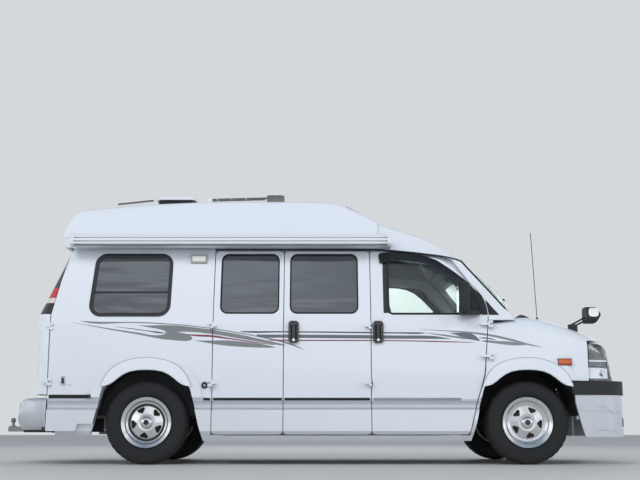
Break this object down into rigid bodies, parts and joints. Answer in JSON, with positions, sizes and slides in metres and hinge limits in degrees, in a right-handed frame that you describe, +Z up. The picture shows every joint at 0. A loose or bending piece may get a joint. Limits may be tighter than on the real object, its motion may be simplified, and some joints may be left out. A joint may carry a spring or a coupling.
{
  "type": "camper van",
  "caption": "Full-size camper van with a raised moulded roof, roll awning, opening doors and bonnet, steering and rolling wheels.",
  "frame": {"origin": "on the ground under the middle of the overall length, on the centre line", "axes": "+X forward, +Y to the left side, +Z up"},
  "size_m": [5.921, 2.36, 2.548],
  "materials": {
    "paint": "gloss white above a metallic silver waist",
    "moulded_roof": "glass-fibre gel coat",
    "frame_steel": "black chassis paint",
    "bright_steel": "bare and plated steel",
    "cast_metal": "rough casting",
    "dark_plastic": "moulded black",
    "white_plastic": "white moulding",
    "lamp_lens": "red lens",
    "clear_lens": "clear lens",
    "tinted_glass": "dark tinted",
    "tyre_rubber": "black rubber",
    "polished_alloy": "polished",
    "seat_fabric": "woven cloth",
    "cabinet_wood": "laminated board"
  },
  "bodies": {
    "van": {"chassis_frame": "frame_steel", "tow_ball": "bright_steel", "rear_axle": "frame_steel", "front_suspension": "frame_steel", "engine_block": "cast_metal", "fuel_tank": "dark_plastic", "exhaust": "bright_steel", "floor_pan": "frame_steel", "arch_liners": "dark_plastic", "side_body_right": "paint", "side_body_left": "paint", "tail_lamps": "lamp_lens", "tail_frame": "paint", "cab_front": "paint", "windscreen": "tinted_glass", "headlamps": "clear_lens", "grille": "dark_plastic", "wing_right": "paint", "wing_left": "paint", "front_bumper": "paint", "rear_bumper": "paint", "roof_cap": "moulded_roof", "fixed_glass": "tinted_glass", "awning": "white_plastic", "roof_fittings": "white_plastic", "whip_aerial": "dark_plastic", "corner_mirror": "dark_plastic", "front_seats": "seat_fabric", "dashboard": "dark_plastic", "furniture": "cabinet_wood"},
    "bonnet": {"bonnet": "paint"},
    "knuckle_right": {"knuckle_right": "cast_metal"},
    "knuckle_left": {"knuckle_left": "cast_metal"},
    "wheel_front_right": {"tyre_front_right": "tyre_rubber", "rim_front_right": "polished_alloy"},
    "wheel_front_left": {"tyre_front_left": "tyre_rubber", "rim_front_left": "polished_alloy"},
    "wheel_rear_right": {"tyre_rear_right": "tyre_rubber", "rim_rear_right": "polished_alloy"},
    "wheel_rear_left": {"tyre_rear_left": "tyre_rubber", "rim_rear_left": "polished_alloy"},
    "front_door_right": {"front_door_right": "paint", "front_door_glass_right": "tinted_glass", "door_mirror_right": "dark_plastic"},
    "front_door_left": {"front_door_left": "paint", "front_door_glass_left": "tinted_glass", "door_mirror_left": "dark_plastic"},
    "side_door_front": {"side_door_front": "paint", "side_door_front_glass": "tinted_glass"},
    "side_door_rear": {"side_door_rear": "paint", "side_door_rear_glass": "tinted_glass"},
    "rear_door_right": {"rear_door_right": "paint", "rear_door_glass_right": "tinted_glass"},
    "rear_door_left": {"rear_door_left": "paint", "rear_door_glass_left": "tinted_glass"}
  },
  "joints": [
    {"name": "bonnet_lift", "type": "hinge", "parent": "van", "child": "bonnet", "pos_m": [1.8935, 0, 1.338], "axis": [0, -1, 0], "range_deg": [0, 50]},
    {"name": "steer_right", "type": "hinge", "parent": "van", "child": "knuckle_right", "pos_m": [1.9855, -0.768, 0.372], "axis": [0, 0, 1], "range_deg": [-33, 33]},
    {"name": "steer_left", "type": "hinge", "parent": "van", "child": "knuckle_left", "pos_m": [1.9855, 0.768, 0.372], "axis": [0, 0, 1], "range_deg": [-33, 33]},
    {"name": "spin_front_right", "type": "hinge", "parent": "knuckle_right", "child": "wheel_front_right", "pos_m": [1.9855, -0.842, 0.372], "axis": [0, 1, 0], "continuous": true},
    {"name": "spin_front_left", "type": "hinge", "parent": "knuckle_left", "child": "wheel_front_left", "pos_m": [1.9855, 0.842, 0.372], "axis": [0, 1, 0], "continuous": true},
    {"name": "spin_rear_right", "type": "hinge", "parent": "van", "child": "wheel_rear_right", "pos_m": [-1.4445, -0.842, 0.372], "axis": [0, 1, 0], "continuous": true},
    {"name": "spin_rear_left", "type": "hinge", "parent": "van", "child": "wheel_rear_left", "pos_m": [-1.4445, 0.842, 0.372], "axis": [0, 1, 0], "continuous": true},
    {"name": "front_door_right_swing", "type": "hinge", "parent": "van", "child": "front_door_right", "pos_m": [1.6515, -1.038, 1], "axis": [0, 0, 1], "range_deg": [0, 70]},
    {"name": "front_door_left_swing", "type": "hinge", "parent": "van", "child": "front_door_left", "pos_m": [1.6515, 1.038, 1], "axis": [0, 0, -1], "range_deg": [0, 70]},
    {"name": "side_door_front_swing", "type": "hinge", "parent": "van", "child": "side_door_front", "pos_m": [0.5675, -1.038, 1], "axis": [0, 0, 1], "range_deg": [0, 90]},
    {"name": "side_door_rear_swing", "type": "hinge", "parent": "van", "child": "side_door_rear", "pos_m": [-0.8545, -1.038, 1], "axis": [0, 0, -1], "range_deg": [0, 90]},
    {"name": "rear_door_right_swing", "type": "hinge", "parent": "van", "child": "rear_door_right", "pos_m": [-2.3345, -1.014, 1], "axis": [0, 0, 1], "range_deg": [0, 165]},
    {"name": "rear_door_left_swing", "type": "hinge", "parent": "van", "child": "rear_door_left", "pos_m": [-2.3345, 1.014, 1], "axis": [0, 0, -1], "range_deg": [0, 165]}
  ],
  "couplings": [
    {"joint": "steer_left", "follows": "steer_right", "ratio": 1}
  ]
}
